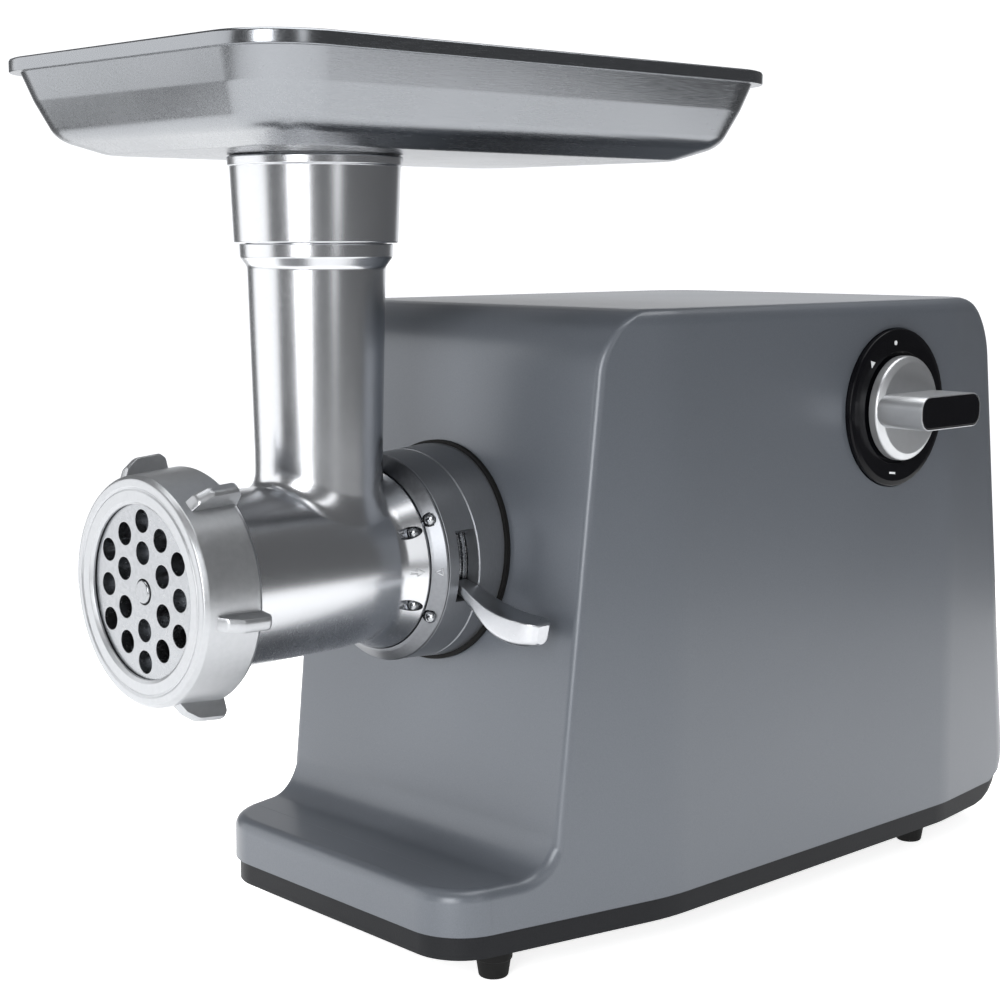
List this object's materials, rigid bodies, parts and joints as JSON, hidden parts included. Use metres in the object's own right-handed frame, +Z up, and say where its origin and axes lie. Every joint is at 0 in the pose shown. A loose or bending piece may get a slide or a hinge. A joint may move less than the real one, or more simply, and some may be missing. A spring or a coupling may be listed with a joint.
{
  "type": "electric meat grinder",
  "caption": "Electric meat grinder with motor housing, reduction gearbox, removable grinding head, ring nut, perforated plate, lock lever, rotary switch and hopper tray.",
  "frame": {"origin": "centre of the footprint of the whole object, on the surface the feet stand on", "axes": "+Z up, +Y from the ring nut towards the back of the housing, +X towards the side with the rotary switch"},
  "size_m": [0.2022, 0.411, 0.3175],
  "materials": {
    "housing_paint": "satin metallic grey-blue lacquer",
    "base_plastic": "fine-textured charcoal",
    "foot_rubber": "matt black",
    "cast_aluminium": "satin-polished casting",
    "coupling_metal": "dark grey satin",
    "tray_stainless": "brushed and polished sheet",
    "steel": "machined",
    "motor_iron": "varnished laminations",
    "gear_nylon": "moulded nylon",
    "brass": "turned",
    "die_cast": "raw die casting",
    "carbon": "pressed carbon",
    "switch_plastic": "moulded",
    "dial_gloss": "gloss black",
    "knob_silver": "satin silver"
  },
  "bodies": {
    "base": {"main_housing": "housing_paint", "base_tray": "base_plastic", "foot_front_left": "foot_rubber", "foot_front_right": "foot_rubber", "foot_rear_left": "foot_rubber", "foot_rear_right": "foot_rubber", "cord_inlet": "foot_rubber", "coupling_gasket": "foot_rubber", "coupling_front_ring": "cast_aluminium", "coupling_collar": "coupling_metal", "base_screw_1": "steel", "base_screw_2": "steel", "base_screw_3": "steel", "base_screw_4": "steel", "collar_screw_1": "steel", "collar_screw_2": "steel", "collar_screw_3": "steel", "collar_screw_4": "steel", "gearbox_screw_1": "steel", "gearbox_screw_2": "steel", "gearbox_screw_3": "steel", "gearbox_screw_4": "steel", "axle_stage_1": "steel", "axle_stage_2": "steel", "motor_front_bearing": "steel", "motor_rear_bearing": "steel", "motor_stator": "motor_iron", "output_bush": "brass", "gearbox_case": "die_cast", "gearbox_cover": "die_cast", "motor_front_bracket": "die_cast", "motor_rear_bracket": "die_cast", "carbon_brush_upper": "carbon", "carbon_brush_lower": "carbon", "switch_body": "switch_plastic", "dial_ring": "dial_gloss"},
    "rotor": {"motor_rotor": "steel", "motor_pinion": "steel", "cooling_fan": "gear_nylon"},
    "stage_1": {"gear_stage_1": "gear_nylon"},
    "stage_2": {"gear_stage_2": "gear_nylon"},
    "output": {"output_gear": "gear_nylon", "drive_spindle": "steel"},
    "head": {"head_casting": "cast_aluminium", "head_screw_1": "steel", "head_screw_2": "steel", "auger_bush": "gear_nylon"},
    "auger_set": {"auger": "cast_aluminium", "auger_shaft": "steel", "knife": "steel"},
    "plate": {"grinding_plate": "steel"},
    "ring": {"ring_nut": "cast_aluminium"},
    "tray": {"hopper_tray": "tray_stainless", "tray_sleeve": "cast_aluminium"},
    "lever": {"lock_lever": "cast_aluminium", "lock_ring": "steel"},
    "knob": {"switch_knob": "knob_silver", "knob_insert": "dial_gloss"}
  },
  "joints": [
    {"name": "motor_spin", "type": "hinge", "parent": "base", "child": "rotor", "pos_m": [-0.0168, 0.04052, 0.1173], "axis": [0, 1, 0], "continuous": true},
    {"name": "stage_1_spin", "type": "hinge", "parent": "base", "child": "stage_1", "pos_m": [-0.05087, -0.02948, 0.1049], "axis": [0, 1, 0], "continuous": true},
    {"name": "stage_2_spin", "type": "hinge", "parent": "base", "child": "stage_2", "pos_m": [-0.0119, -0.03948, 0.0824], "axis": [0, 1, 0], "continuous": true},
    {"name": "output_spin", "type": "hinge", "parent": "base", "child": "output", "pos_m": [-0.0119, -0.04948, 0.1424], "axis": [0, 1, 0], "continuous": true},
    {"name": "head_release", "type": "slide", "parent": "base", "child": "head", "axis": [0, -1, 0], "range_m": [0, 0.06]},
    {"name": "auger_spin", "type": "hinge", "parent": "head", "child": "auger_set", "pos_m": [-0.0119, -0.12448, 0.1424], "axis": [0, 1, 0], "continuous": true},
    {"name": "plate_out", "type": "slide", "parent": "head", "child": "plate", "axis": [0, -1, 0], "range_m": [0, 0.012]},
    {"name": "ring_unscrew", "type": "hinge", "parent": "plate", "child": "ring", "pos_m": [-0.0119, -0.18948, 0.1424], "axis": [0, -1, 0], "range_deg": [0, 1080]},
    {"name": "tray_lift", "type": "slide", "parent": "head", "child": "tray", "axis": [0, 0, 1], "range_m": [0, 0.035]},
    {"name": "lever_turn", "type": "hinge", "parent": "base", "child": "lever", "pos_m": [-0.0119, -0.08848, 0.1424], "axis": [0, -1, 0], "range_deg": [0, 22]},
    {"name": "knob_turn", "type": "hinge", "parent": "base", "child": "knob", "pos_m": [0.0831, 0.09702, 0.1907], "axis": [1, 0, 0], "range_deg": [-45, 45]}
  ],
  "couplings": [
    {"joint": "stage_1_spin", "follows": "motor_spin", "ratio": -0.20833},
    {"joint": "stage_2_spin", "follows": "motor_spin", "ratio": 0.052083},
    {"joint": "output_spin", "follows": "motor_spin", "ratio": -0.013021},
    {"joint": "auger_spin", "follows": "motor_spin", "ratio": -0.013021},
    {"joint": "plate_out", "follows": "ring_unscrew", "m_per_rad": 0.00063662}
  ]
}
